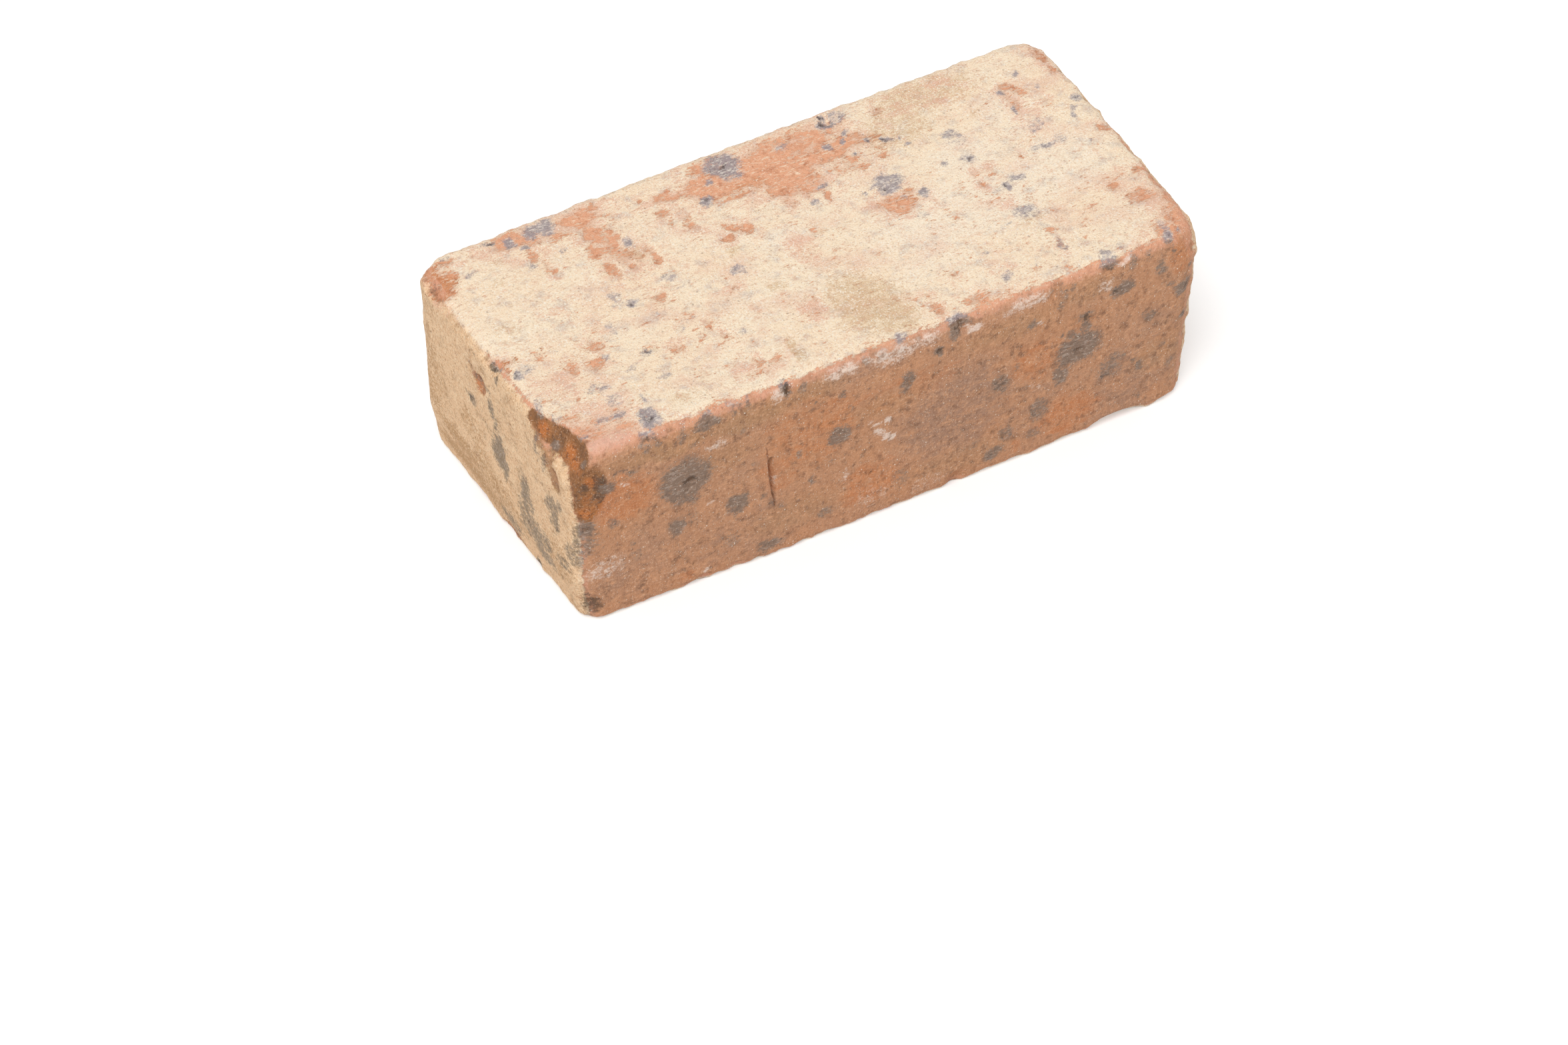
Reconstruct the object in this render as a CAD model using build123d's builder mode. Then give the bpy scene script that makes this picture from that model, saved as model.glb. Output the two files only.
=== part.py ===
from build123d import *
from math import cos, radians, sin
import os

# A hand made clay brick, worn and chipped, lying on its bed. The origin is at the
# middle of the bottom bed, X runs along the length and the stretcher side with the
# iron spots faces -Y. All sizes are in millimetres.

# Overall size
LENGTH = 215.0
WIDTH = 105.0
HEIGHT = 65.5

# Out of square: how far each corner of the bed falls short of the overall box
BACK_LEFT_SHORT = 3.3
FRONT_LEFT_END_SHORT = 2.0
FRONT_LEFT_SIDE_SHORT = 2.0
FRONT_RIGHT_END_SHORT = 3.0

# Bow of the sides and the ends between their corners
SIDE_BOW = 0.8
END_BOW = 0.7

# Draft: how far these faces lean in on the way from the top down to the bottom bed
FRONT_DRAFT = 1.3
BACK_DRAFT = 1.0
RIGHT_DRAFT = 2.6

# The left end stands upright down to a knee and leans in below it
KNEE_HEIGHT = 17.0
KNEE_LEAN = 2.6

# Rounding of the upright corners, seen from above
FRONT_LEFT_RADIUS = 6.0
FRONT_RIGHT_RADIUS = 12.0
BACK_RIGHT_RADIUS = 9.0
BACK_LEFT_RADIUS = 10.0

# Worn arrises: each is a quarter round that climbs by its rise and sets every side
# back by its set back, in flats too fine to see
TOP_ARRIS_RISE = 5.0
TOP_ARRIS_SET_BACK = 4.2
BOTTOM_ARRIS_RISE = 3.0
BOTTOM_ARRIS_SET_BACK = 3.0
ARRIS_FLATS = 5

# Above a shoulder the front side and the front right corner lean back further
SHOULDER_DROP = 11.0
FRONT_WEAR = 1.2
FRONT_RIGHT_WEAR = 3.7

# Chip at the front left top corner: two hollows that run into each other, each as a ball
# leaves it. The lower one is in the front side, below the top bed, and the upper one in
# the left end's top arris. Their middles are measured from the brick's own corner.
LOWER_CHIP_RADIUS = 23.4
LOWER_CHIP_PAST_END = 3.5
LOWER_CHIP_PAST_FRONT = 20.0
LOWER_CHIP_DOWN = 12.0
UPPER_CHIP_RADIUS = 40.0
UPPER_CHIP_PAST_END = 31.0
UPPER_CHIP_FROM_FRONT = 6.0
UPPER_CHIP_ABOVE = 14.0

# Worn foot below it: a flat break through three points
FOOT_ALONG_FRONT = 9.0
FOOT_ALONG_END = 8.0
FOOT_UP = 13.0

# Drying crack in the front side
CRACK_FROM_LEFT = 63.8
CRACK_TOP_UP = 43.5
CRACK_LENGTH = 24.0
CRACK_WIDTH = 0.7
CRACK_DRIFT = 1.2
CRACK_DEPTH = 3.0

# Blow holes in the iron spots of the front side, which spread with its size. Each is
# a share of the length, a share of the height, its width and its depth.
FRONT_PITS = (
    (0.177, 0.63, 5.0, 1.0),
    (0.325, 0.95, 2.6, 0.9),
    (0.506, 0.76, 2.6, 0.7),
    (0.553, 0.86, 2.6, 0.6),
    (0.593, 0.94, 5.0, 1.3),
    (0.655, 0.51, 2.2, 0.9),
    (0.713, 0.79, 2.2, 0.6),
    (0.780, 0.54, 4.5, 0.9),
    (0.793, 0.72, 2.8, 0.8),
    (0.825, 0.31, 2.6, 0.7),
)

# Blow holes in the top bed: share of the length, share of the width, width, depth
TOP_PITS = (
    (0.133, 0.084, 3.2, 0.8),
    (0.193, 0.326, 2.4, 0.8),
    (0.423, 0.642, 6.0, 0.9),
    (0.461, 0.893, 7.0, 0.8),
    (0.606, 0.596, 2.4, 0.7),
    (0.640, 0.600, 4.0, 1.1),
    (0.640, 0.934, 3.8, 1.2),
    (0.762, 0.472, 2.4, 0.6),
)

# Spalls along the front edges: share of the length, share of the height, width, depth
FRONT_SPALLS = (
    (0.073, 0.84, 6.0, 0.8),
    (0.195, 0.025, 5.0, 0.9),
    (0.244, 0.025, 6.0, 0.9),
    (0.588, 0.045, 7.0, 1.6),
    (0.735, 0.93, 5.0, 1.0),
    (0.852, 0.015, 22.0, 1.4),
)

# Spalls in the left end: share of the width, share of the height, width, depth
END_SPALLS = (
    (0.476, 0.985, 6.0, 1.0),
    (0.534, 0.985, 4.4, 0.6),
    (0.548, 0.81, 8.0, 0.8),
    (0.845, 0.985, 12.0, 1.3),
)


def corner(x_side, y_side, x_short=0.0, y_short=0.0):
    """A corner of a bed outline, measured in from the overall box"""
    return (x_side * (LENGTH / 2 - x_short), y_side * (WIDTH / 2 - y_short))


def outline_at(height, inset=0.0):
    """The brick's outline at a height, with bowed sides and rounded corners"""
    draft = 1 - height / HEIGHT
    under_knee = max(0, 1 - height / KNEE_HEIGHT)
    over_shoulder = max(0, 1 - (HEIGHT - height) / SHOULDER_DROP)
    left = inset + KNEE_LEAN * under_knee
    right = inset + RIGHT_DRAFT * draft
    front = inset + FRONT_DRAFT * draft + FRONT_WEAR * over_shoulder
    back = inset + BACK_DRAFT * draft
    corner_wear = FRONT_RIGHT_WEAR * over_shoulder

    back_left = corner(-1, 1, left, BACK_LEFT_SHORT + back)
    back_right = corner(1, 1, right, back)
    front_right = corner(1, -1, FRONT_RIGHT_END_SHORT + right + corner_wear, front)
    front_left = corner(-1, -1, FRONT_LEFT_END_SHORT + left, FRONT_LEFT_SIDE_SHORT + front)
    radii = {
        front_left: FRONT_LEFT_RADIUS,
        front_right: FRONT_RIGHT_RADIUS,
        back_right: BACK_RIGHT_RADIUS,
        back_left: BACK_LEFT_RADIUS,
    }
    with BuildSketch(Plane.XY.offset(height)) as outline:
        with BuildLine():
            SagittaArc(front_left, front_right, -SIDE_BOW)
            SagittaArc(front_right, back_right, -END_BOW)
            SagittaArc(back_right, back_left, -SIDE_BOW)
            SagittaArc(back_left, front_left, -END_BOW)
        make_face()
        for point, radius in radii.items():
            fillet(outline.vertices().sort_by_distance(point)[0], radius)
    return outline.sketch


def quarter_round():
    """Points of a quarter round, as shares of its rise and of its set back"""
    for flat in range(ARRIS_FLATS + 1):
        turn = radians(90 * flat / ARRIS_FLATS)
        yield 1 - cos(turn), 1 - sin(turn)


def break_through(front_point, end_point, corner_point):
    """A plane through three points on the front left corner, facing out of the brick"""
    outward = (end_point - front_point).cross(corner_point - front_point)
    if outward.X > 0:
        outward = -outward
    return Plane((front_point + end_point + corner_point) / 3, z_dir=outward)


def skin_plane(body, start, direction, x_dir=(1, 0, 0)):
    """A plane on the body's skin, where a line from outside meets it first"""
    skin = body.part.shell()
    point, outward = skin.find_intersection_points(Axis(start, direction))[0]
    return Plane(point, x_dir=x_dir, z_dir=outward)


def scoop(plane, across, deep):
    """A round hollow of a given width and depth in the skin that the plane lies on"""
    radius = (across**2 / 4 + deep**2) / (2 * deep)
    with Locations(plane.offset(radius - deep)):
        Sphere(radius, mode=Mode.SUBTRACT)


def blow_hole(plane, across, deep):
    """A pit with sloping walls and a flat floor half as wide as its mouth"""
    with Locations(plane.offset(-deep)):
        Cone(
            bottom_radius=across / 4,
            top_radius=across * 3 / 4,
            height=2 * deep,
            align=(Align.CENTER, Align.CENTER, Align.MIN),
            mode=Mode.SUBTRACT,
        )


left_end = -LENGTH / 2
front_side = -WIDTH / 2

with BuildPart() as brick:
    bottom_arris = [
        outline_at(BOTTOM_ARRIS_RISE * rise, BOTTOM_ARRIS_SET_BACK * set_back)
        for rise, set_back in quarter_round()
    ]
    top_arris = [
        outline_at(HEIGHT - TOP_ARRIS_RISE * rise, TOP_ARRIS_SET_BACK * set_back)
        for rise, set_back in quarter_round()
    ]
    knee = outline_at(KNEE_HEIGHT)
    shoulder = outline_at(HEIGHT - SHOULDER_DROP)
    loft(bottom_arris + [knee, shoulder] + top_arris[::-1], ruled=True)

    # The chip and the worn foot at the front left corner
    corner_x = left_end + FRONT_LEFT_END_SHORT
    corner_y = front_side + FRONT_LEFT_SIDE_SHORT
    lower_chip = (
        corner_x - LOWER_CHIP_PAST_END,
        corner_y - LOWER_CHIP_PAST_FRONT,
        HEIGHT - LOWER_CHIP_DOWN,
    )
    with Locations(lower_chip):
        Sphere(LOWER_CHIP_RADIUS, mode=Mode.SUBTRACT)
    upper_chip = (
        corner_x - UPPER_CHIP_PAST_END,
        corner_y + UPPER_CHIP_FROM_FRONT,
        HEIGHT + UPPER_CHIP_ABOVE,
    )
    with Locations(upper_chip):
        Sphere(UPPER_CHIP_RADIUS, mode=Mode.SUBTRACT)
    foot = break_through(
        Vector(corner_x + FOOT_ALONG_FRONT, corner_y, 0),
        Vector(corner_x, corner_y + FOOT_ALONG_END, 0),
        Vector(corner_x, corner_y, FOOT_UP),
    )
    split(bisect_by=foot, keep=Keep.BOTTOM)

    # The drying crack: a thin wedge that wanders as it runs down the front side
    crack_mouth = skin_plane(
        brick,
        (left_end + CRACK_FROM_LEFT, -WIDTH, CRACK_TOP_UP - CRACK_LENGTH / 2),
        (0, 1, 0),
    )
    half_long = CRACK_LENGTH / 2
    half_wide = CRACK_WIDTH / 2
    with BuildSketch(crack_mouth) as crack:
        with BuildLine():
            Spline((-CRACK_DRIFT, half_long), (-half_wide, 0), (CRACK_DRIFT, -half_long))
            Spline((-CRACK_DRIFT, half_long), (half_wide, 0), (CRACK_DRIFT, -half_long))
        make_face()
    extrude(amount=-CRACK_DEPTH, mode=Mode.SUBTRACT)

    # Blow holes and spalls, each cut square to the skin where it lies
    for along, up, across, deep in FRONT_PITS:
        start = (left_end + LENGTH * along, -WIDTH, HEIGHT * up)
        blow_hole(skin_plane(brick, start, (0, 1, 0)), across, deep)
    for along, inward, across, deep in TOP_PITS:
        start = (left_end + LENGTH * along, front_side + WIDTH * inward, 2 * HEIGHT)
        blow_hole(skin_plane(brick, start, (0, 0, -1)), across, deep)
    for along, up, across, deep in FRONT_SPALLS:
        start = (left_end + LENGTH * along, -WIDTH, HEIGHT * up)
        scoop(skin_plane(brick, start, (0, 1, 0)), across, deep)
    for inward, up, across, deep in END_SPALLS:
        start = (-LENGTH, front_side + WIDTH * inward, HEIGHT * up)
        scoop(skin_plane(brick, start, (1, 0, 0), x_dir=(0, 1, 0)), across, deep)

# The brick is centred over the origin as it lies
middle = brick.part.bounding_box().center()
brick.part = Pos(-middle.X, -middle.Y, 0) * brick.part
brick.part.label = "brick"

os.makedirs("parts", exist_ok=True)
export_step(brick.part, "parts/brick.step")
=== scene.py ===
import math
from itertools import product

import bpy
import numpy as np
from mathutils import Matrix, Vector
from mathutils.bvhtree import BVHTree


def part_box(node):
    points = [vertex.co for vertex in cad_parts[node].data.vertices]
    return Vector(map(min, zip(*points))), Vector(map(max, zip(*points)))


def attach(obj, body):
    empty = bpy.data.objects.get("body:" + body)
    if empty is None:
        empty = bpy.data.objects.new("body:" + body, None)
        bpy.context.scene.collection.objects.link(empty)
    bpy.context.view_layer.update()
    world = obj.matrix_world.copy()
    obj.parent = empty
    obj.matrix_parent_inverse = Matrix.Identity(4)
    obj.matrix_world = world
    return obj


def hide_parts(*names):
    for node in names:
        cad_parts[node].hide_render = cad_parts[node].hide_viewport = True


# Looks of the worn clay brick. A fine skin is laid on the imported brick, roughened the
# way sandy fired clay is, and each side gets its own clay, slip, iron spots and wear.
# Sizes of the skin are in millimetres and turn into metres where the mesh is made.

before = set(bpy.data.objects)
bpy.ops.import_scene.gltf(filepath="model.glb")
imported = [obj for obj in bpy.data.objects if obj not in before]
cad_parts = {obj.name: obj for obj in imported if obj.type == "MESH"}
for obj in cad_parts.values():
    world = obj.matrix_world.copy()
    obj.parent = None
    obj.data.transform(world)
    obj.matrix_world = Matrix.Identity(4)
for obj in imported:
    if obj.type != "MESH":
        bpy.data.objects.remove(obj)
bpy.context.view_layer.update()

METRE = 0.001
SEED = 11
rng = np.random.default_rng(SEED)

# The skin's grid: its step, and how deep inside the brick the lines start that carry
# each grid point out to the surface
GRID_STEP = 0.94
LINE_DEPTH = 12.0

# The drying crack of the front side: its middle, how far it leans, and the strip
# beside it whose grid columns are drawn in to follow it. They crowd towards it by a
# power, and it lets go of them between these shares of its half length.
CRACK_X = -43.7
CRACK_Z = 31.5
CRACK_HALF_LONG = 12.0
CRACK_LEAN = 1.2
CRACK_STRIP = 6.0
CRACK_CROWDING = 1.5
CRACK_LETS_GO = (1.6, 1.1)

# How far the crack's painted line of shade wavers, and half its width at its foot and near its head
CRACK_WAVER = 0.8
CRACK_HALF_WIDE = (0.16, 0.32)

# How textures are stretched: the streaks and threads of the slip run along the brick, and
# the marks of the mould's walls run up its sides
ALONG_SIDES = (0.55, 0.75, 1.3)
ALONG_THREADS = (0.4, 1.1, 1.3)
UP_THE_SIDES = (1.3, 1.3, 0.4)

X, Y, Z = range(3)
low, high = (np.array(corner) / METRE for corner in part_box("brick"))
TOP = high[Z]


def smooth(start, end, value):
    """0 before start, 1 after end and a smooth step between; start may be the larger"""
    share = np.clip((value - start) / (end - start), 0, 1)
    return share * share * (3 - 2 * share)


class Noise:
    """Gradient noise in space, the same on every run"""

    # What stretches it to about -1 to 1, and how far apart its layers are taken
    STRETCH = 1.6
    LAYER_SHIFT = 37.1

    def __init__(self, seed):
        order = np.random.default_rng(seed)
        self.table = order.permutation(256)
        slopes = order.normal(size=(256, 3))
        self.slopes = slopes / np.linalg.norm(slopes, axis=1, keepdims=True)

    def __call__(self, points, size):
        """About -1 to 1 at each point, changing over `size` millimetres"""
        place = points / size
        cell = np.floor(place).astype(int)
        inside = place - cell
        ease = inside**3 * (inside * (inside * 6 - 15) + 10)
        total = np.zeros(len(points))
        for corner in product((0, 1), repeat=3):
            spot = cell + corner
            mixed = self.table[spot[:, 0] & 255]
            mixed = self.table[(mixed + spot[:, 1]) & 255]
            mixed = self.table[(mixed + spot[:, 2]) & 255]
            slope = self.slopes[mixed]
            share = np.prod(np.where(corner, ease, 1 - ease), axis=1)
            total += share * np.sum(slope * (inside - corner), axis=1)
        return total * self.STRETCH

    def layered(self, points, size, layers=4, fall=0.5):
        """Noise of several sizes added up, each half as large as the one before"""
        total = 0
        share = 1.0
        for layer in range(layers):
            shifted = points + self.LAYER_SHIFT * layer
            total = total + share * self(shifted, size / 2**layer)
            share *= fall
        return total


def box_skin(counts):
    """A grid on a box's skin: the steps of each point, and the quads between them"""
    number = np.full([count + 1 for count in counts], -1)
    on_skin = np.ones(number.shape, bool)
    on_skin[1:-1, 1:-1, 1:-1] = False
    number[on_skin] = np.arange(on_skin.sum())
    quads = []
    for axis in range(3):
        for end in (0, -1):
            sheet = np.take(number, end, axis=axis)
            ring = [sheet[:-1, :-1], sheet[1:, :-1], sheet[1:, 1:], sheet[:-1, 1:]]
            if (axis == 1) != (end == 0):
                ring.reverse()
            quads.append(np.stack([corner.ravel() for corner in ring], axis=1))
    return np.argwhere(on_skin), np.concatenate(quads)


def follow_crack(points):
    """Draws the grid columns of the front side in to the crack, one of them onto it"""
    on_front = points[:, Y] <= low[Y]
    columns = np.unique(points[on_front, X])
    nearest = columns[np.argmin(np.abs(columns - CRACK_X))]
    off = points[:, X] - nearest
    share = np.clip(np.abs(off) / CRACK_STRIP, 0, 1)
    drawn_in = np.sign(off) * CRACK_STRIP * share**CRACK_CROWDING
    up = (points[:, Z] - CRACK_Z) / CRACK_HALF_LONG
    line = CRACK_X - CRACK_LEAN * np.clip(up, -1, 1)
    target = nearest + drawn_in + (line - nearest) * (1 - smooth(0, 1, share))
    pull = smooth(*CRACK_LETS_GO, np.abs(up)) * on_front * (share < 1)
    points[:, X] += pull * (target - points[:, X])


def lay_on_brick(points):
    """Carries each grid point out along its line to the surface of the CAD brick"""
    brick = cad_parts["brick"]
    tree = BVHTree.FromObject(brick, bpy.context.evaluated_depsgraph_get())
    starts = np.clip(points, low + LINE_DEPTH, high - LINE_DEPTH)
    ways = points - starts
    laid = points.copy()
    for index, (start, way) in enumerate(zip(starts * METRE, ways)):
        hit = tree.ray_cast(Vector(start), Vector(way).normalized())[0]
        if hit is not None:
            laid[index] = np.array(hit) / METRE
    return laid


def outward(points, quads):
    """The direction each point of the skin faces"""
    across = points[quads[:, 2]] - points[quads[:, 0]]
    along = points[quads[:, 3]] - points[quads[:, 1]]
    faces = np.cross(across, along)
    total = np.zeros_like(points)
    for axis in range(3):
        for corner in range(4):
            total[:, axis] += np.bincount(quads[:, corner], faces[:, axis], len(points))
    return total / np.linalg.norm(total, axis=1, keepdims=True)


def evened(values, quads, rounds):
    """Values spread out to their neighbours on the skin, round after round"""
    count = len(values)
    shares = np.bincount(quads.ravel(), minlength=count)
    for _ in range(rounds):
        face = values[quads].mean(axis=1)
        spread = np.repeat(face, 4)
        values = np.bincount(quads.ravel(), spread, count) / shares
    return values


# Marks on the sides. Each row is a middle, a half width and a half height in
# millimetres, and how strongly the mark shows. On the top they are given by x and y, on
# the front by x and z, and on the left end by y and z.

TOP_BARE = (
    # back left corner
    (-105, 35, 2, 6, 1.0), (-104, 43, 3.5, 3, 0.9), (-98, 43.5, 3, 2, 0.7),
    # patches along the back on the left
    (-78, 43, 6.5, 3.5, 0.9), (-72, 42, 4, 5, 0.85), (-75, 33.5, 1.8, 3, 0.75),
    (-73, 24.5, 1.3, 1.8, 0.7), (-73.5, 28, 1.2, 3, 0.5), (-66, 39.5, 6, 1.5, 0.6),
    # the run of worn slip at the left
    (-56, 42, 7, 5, 1.0), (-49.5, 44.5, 2.5, 2, 0.9), (-55, 34, 4, 6, 0.8),
    (-58, 26, 3, 4, 0.65), (-53, 28, 3, 5, 0.75), (-51, 21, 4, 3.5, 0.7),
    (-58, 17, 2, 5, 0.7), (-51.5, 14.5, 2, 2.5, 0.75), (-44.5, 18, 1.6, 6, 0.75),
    (-47, 21, 4, 1.5, 0.5), (-42, 8, 1, 3, 0.5), (-51, 0, 2.2, 2.4, 0.8),
    (-55, -3, 2, 1.5, 0.4), (-54, 30, 6, 11, 0.55), (-50, 20, 6, 8, 0.5), (-60, 40, 12, 4, 0.5),
    # small worn spots on the left half
    (-74, -3, 2, 2.5, 0.55), (-77.5, -10, 2.3, 3.5, 0.65), (-81, -17, 3.5, 3, 0.65),
    (-88, -15.5, 2, 2.5, 0.75), (-93, -5.5, 1.8, 3, 0.5), (-94, -17, 5, 2.5, 0.35),
    (-104, -3.5, 1, 3.5, 0.8), (-91.5, -27, 0.9, 1, 0.8), (-96.5, -43, 6, 5.5, 0.85),
    (-88, -46.5, 8, 3.5, 0.8), (-80, -49, 8, 2, 0.7), (-99, -34, 3, 5, 0.5),
    (-89, -37, 6, 3, 0.45), (-57.5, -22, 2, 2.2, 0.65),
    (-45, -18, 1.6, 3, 0.6), (-43.5, -24, 2, 2.5, 0.55), (-40.5, -38, 1.5, 2.5, 0.65),
    (-42, -42, 4, 2.5, 0.4), (-36.5, -41, 3, 2, 0.5),
    # the broad worn band along the back
    (-28, 38, 6, 2, 0.9), (-15, 37, 9, 5, 1), (-12, 33, 10, 3.5, 1), (0, 36, 8, 8, 1),
    (-10, 44, 8, 4, 0.8), (8, 30, 10, 8, 1), (8, 40, 10, 7, 0.9), (20, 40, 8, 7, 0.85),
    (20, 32, 10, 4, 0.95), (30, 34, 7, 3, 0.85), (30, 42, 6, 6, 0.6), (4, 24, 6, 4, 0.9),
    (12, 22, 6, 4, 0.85), (27, 24, 8, 4, 0.55), (38, 30, 6, 6, 0.5),
    (2, 18, 2.5, 3, 0.75), (8.5, 19, 1.5, 3, 0.8), (13.5, 14.5, 0.9, 1.8, 0.9),
    (-8, 28, 8, 1.3, 0.6), (-32.5, 32, 2.5, 2.5, 0.7), (-33, 27, 1.5, 1.5, 0.6),
    (-28, 27, 1.3, 3, 0.6), (-28, 22, 2.3, 2.5, 0.75), (-19, 17, 2, 3, 0.5),
    (-17, 21, 2, 2, 0.4), (-36, 40.5, 0.9, 0.9, 0.7),
    # the rim of the crater
    (-22, 13, 1.8, 1.6, 0.9), (-17.5, 16.5, 3.5, 1.2, 0.85), (-14.5, 14, 1.6, 2.6, 1),
    # small worn spots in the middle
    (-31, -7.5, 1.4, 1.3, 0.85), (-13.5, -23.5, 1.3, 1.5, 0.6), (-16, -28, 3, 3, 0.35),
    (1, 4, 1.2, 3, 0.4), (30, 2, 5.5, 4.5, 0.85), (25, 4, 2.5, 2, 0.7),
    (28, -2, 3, 1.5, 0.6), (46, 42, 2.2, 2, 0.7), (46, 38, 1.5, 2, 0.5),
    (35, 34, 3, 3, 0.8), (37, 23, 3, 2, 0.55), (35, 5, 2, 1.5, 0.8),
    (16, -37, 1.3, 1, 0.6), (27, -34, 2.2, 0.7, 0.6), (15.5, -45, 1.8, 2.5, 0.75),
    (12.5, -41, 0.8, 2.5, 0.5), (28.5, -46, 4.5, 2.2, 0.75), (36, -47, 3, 1.5, 0.5),
    # worn spots on the right
    (56.5, 3, 2, 2, 0.5), (56, -3, 1.3, 1.5, 0.9), (61, -0.5, 2.5, 1, 0.5),
    (53.5, -11, 2, 0.8, 0.7), (73, 2.5, 1.2, 1.2, 0.7), (78, 8.5, 3.5, 2, 0.4),
    (86.5, 33, 2.5, 2.3, 0.8), (84, 26, 2.3, 6, 0.6), (88, 28, 2.5, 3, 0.55),
    (93, 22, 1.5, 1.6, 0.6), (93, 19, 3, 1.5, 0.45), (103, 42, 1.8, 5, 0.8),
    (103, 33, 1.2, 4, 0.6), (101.5, 2, 1.8, 2, 0.85), (89, -23, 2.2, 2.5, 0.7),
    (99.5, -20, 1.8, 1.3, 0.8), (93, -29.5, 3.5, 3, 0.75), (97, -34, 3, 5, 0.55),
    (97, -43, 4, 5, 0.85), (92, -47, 5, 3.5, 0.9), (61, -38, 1, 3, 0.6),
)

TOP_IRON = (
    (-78, 42, 1.8, 2.5, 0.8), (-75, 38, 1.2, 1.5, 0.7), (-84, 44.5, 2.5, 0.8, 0.8),
    (-68, 43.5, 5, 3.5, 0.75), (-64, 45, 1.5, 1.2, 0.8), (-96, 45.5, 2.5, 0.8, 0.5),
    (-48, 26, 1.6, 2.5, 0.6), (-46.5, 7, 1.0, 1.2, 0.7), (-45, 6, 2.5, 1.5, 0.45),
    (-63, 6.5, 2, 2.5, 0.4), (-60, 0.5, 2.2, 1.5, 0.65), (-63, 2.5, 3, 1, 0.35),
    (-70, -5.5, 1.5, 2.5, 0.45), (-43, 1, 2, 1.2, 0.35), (-102, -10, 1.2, 2.2, 0.8),
    (-99, -9.5, 2.5, 2, 0.45), (-105, -2, 1, 2.5, 0.9), (-103, -24, 1.5, 3, 0.4),
    (-101, -31, 1.5, 1.5, 0.5), (-94, 35, 2, 2, 0.3), (-85, -27, 3, 2, 0.45),
    (-84, -33, 2.5, 3, 0.4), (-88, -38.5, 5, 1.5, 0.45), (-76, -36, 0.8, 2.5, 0.7),
    (-78.5, -44, 2.5, 3.2, 1.0), (-82, -48, 2.5, 1.2, 0.8), (-80, -51, 1.5, 2.5, 0.8),
    (-65.5, -19, 0.7, 1.6, 0.9), (-66, -20, 2, 2, 0.4), (-66.5, -31, 2.2, 1.2, 0.5),
    (-73, -23, 2, 1.5, 0.35), (-77, -15.5, 1.2, 1, 0.5), (-77, 30, 1.2, 1, 0.6),
    (-66, 31, 0.8, 0.8, 0.6), (-52, -15, 1, 0.8, 0.7), (-48, -13, 1.5, 1.5, 0.3),
    (-55.5, -6.5, 0.6, 1, 0.6), (-7.5, 42.5, 5.5, 5, 0.95), (-15, 37.5, 1.3, 1.5, 0.7),
    (-6, 37, 3, 1.5, 0.5), (-19, 31, 2, 1.3, 0.9), (-19, 29, 2.5, 1, 0.4),
    (13, 41.5, 2.5, 2, 0.5), (14, 20, 2, 1.3, 0.7), (8, 14, 2.2, 1.6, 0.7),
    (28.5, 44.5, 2.5, 2.5, 0.9), (29.5, 48, 1, 1.2, 0.9), (31, 43.5, 1, 1, 0.9),
    (24, 35, 1.5, 1.5, 0.7), (30, 34.5, 1, 1.2, 0.8), (32.5, 38, 1.5, 1.5, 0.8),
    (29, 28, 1, 1, 0.6), (34, 46, 3, 2.5, 0.5), (-26, -1, 2.2, 1.8, 0.55),
    (31, 11, 5.5, 4, 0.75), (29, 9.5, 1, 0.8, 1), (23, 10, 1.1, 1.2, 0.7),
    (38.5, 2.5, 1.8, 1.8, 0.8), (32, 3, 1, 1, 0.6), (33, -7, 2, 2, 0.3),
    (37, 32, 1.5, 1.5, 0.8), (41.5, 29, 1.2, 1.2, 0.8), (45, 28.5, 1, 1.2, 0.7),
    (47, 24.5, 1.2, 0.7, 0.8), (59, 22, 1.8, 2.2, 0.6), (59, 20, 4, 4, 0.3),
    (59, 8.5, 1.1, 1.2, 0.85), (59, 9, 3, 2.5, 0.35), (51, 10, 1.2, 1.4, 0.65),
    (66, -5, 2.2, 2.2, 0.5), (61.5, -7.5, 1.6, 1.8, 0.8), (58, -8, 2, 1.5, 0.35),
    (60, -20, 4, 3.5, 0.5), (60, -22, 2, 1.2, 0.3), (52, -22, 1, 0.8, 0.6),
    (80, 3, 4, 1.5, 0.6), (87, 3, 2, 2, 0.45), (74, 8, 1.5, 1, 0.5),
    (83, 31, 1.2, 1.2, 0.8), (82.5, 22, 1, 2.2, 0.7), (84, 13, 3, 2.5, 0.4),
    (82, 11, 1, 2, 0.5), (91.5, 36, 1.2, 1.2, 0.7), (94, 28, 1.2, 1, 0.5),
    (101.5, 18, 1.6, 2.3, 0.75), (98.5, 14, 1.5, 1.2, 0.6), (96.5, 11, 1, 2.2, 0.6),
    (94, -2, 1.5, 1.2, 0.4), (91, -49.5, 2.5, 1.5, 0.8), (95.5, -48, 1, 1, 0.6),
    (61, -38, 1.0, 3, 0.5), (40, -30, 1.5, 1.2, 0.45), (40, -42, 1.8, 2, 0.55),
    (51, -43, 0.8, 1.5, 0.5), (75, -46.5, 1.5, 1.5, 0.4), (0, -48.5, 2, 1.2, 0.7),
    (19, -51, 4, 2.5, 0.95), (-38.5, -25, 1.8, 1.2, 0.5),
)

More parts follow.
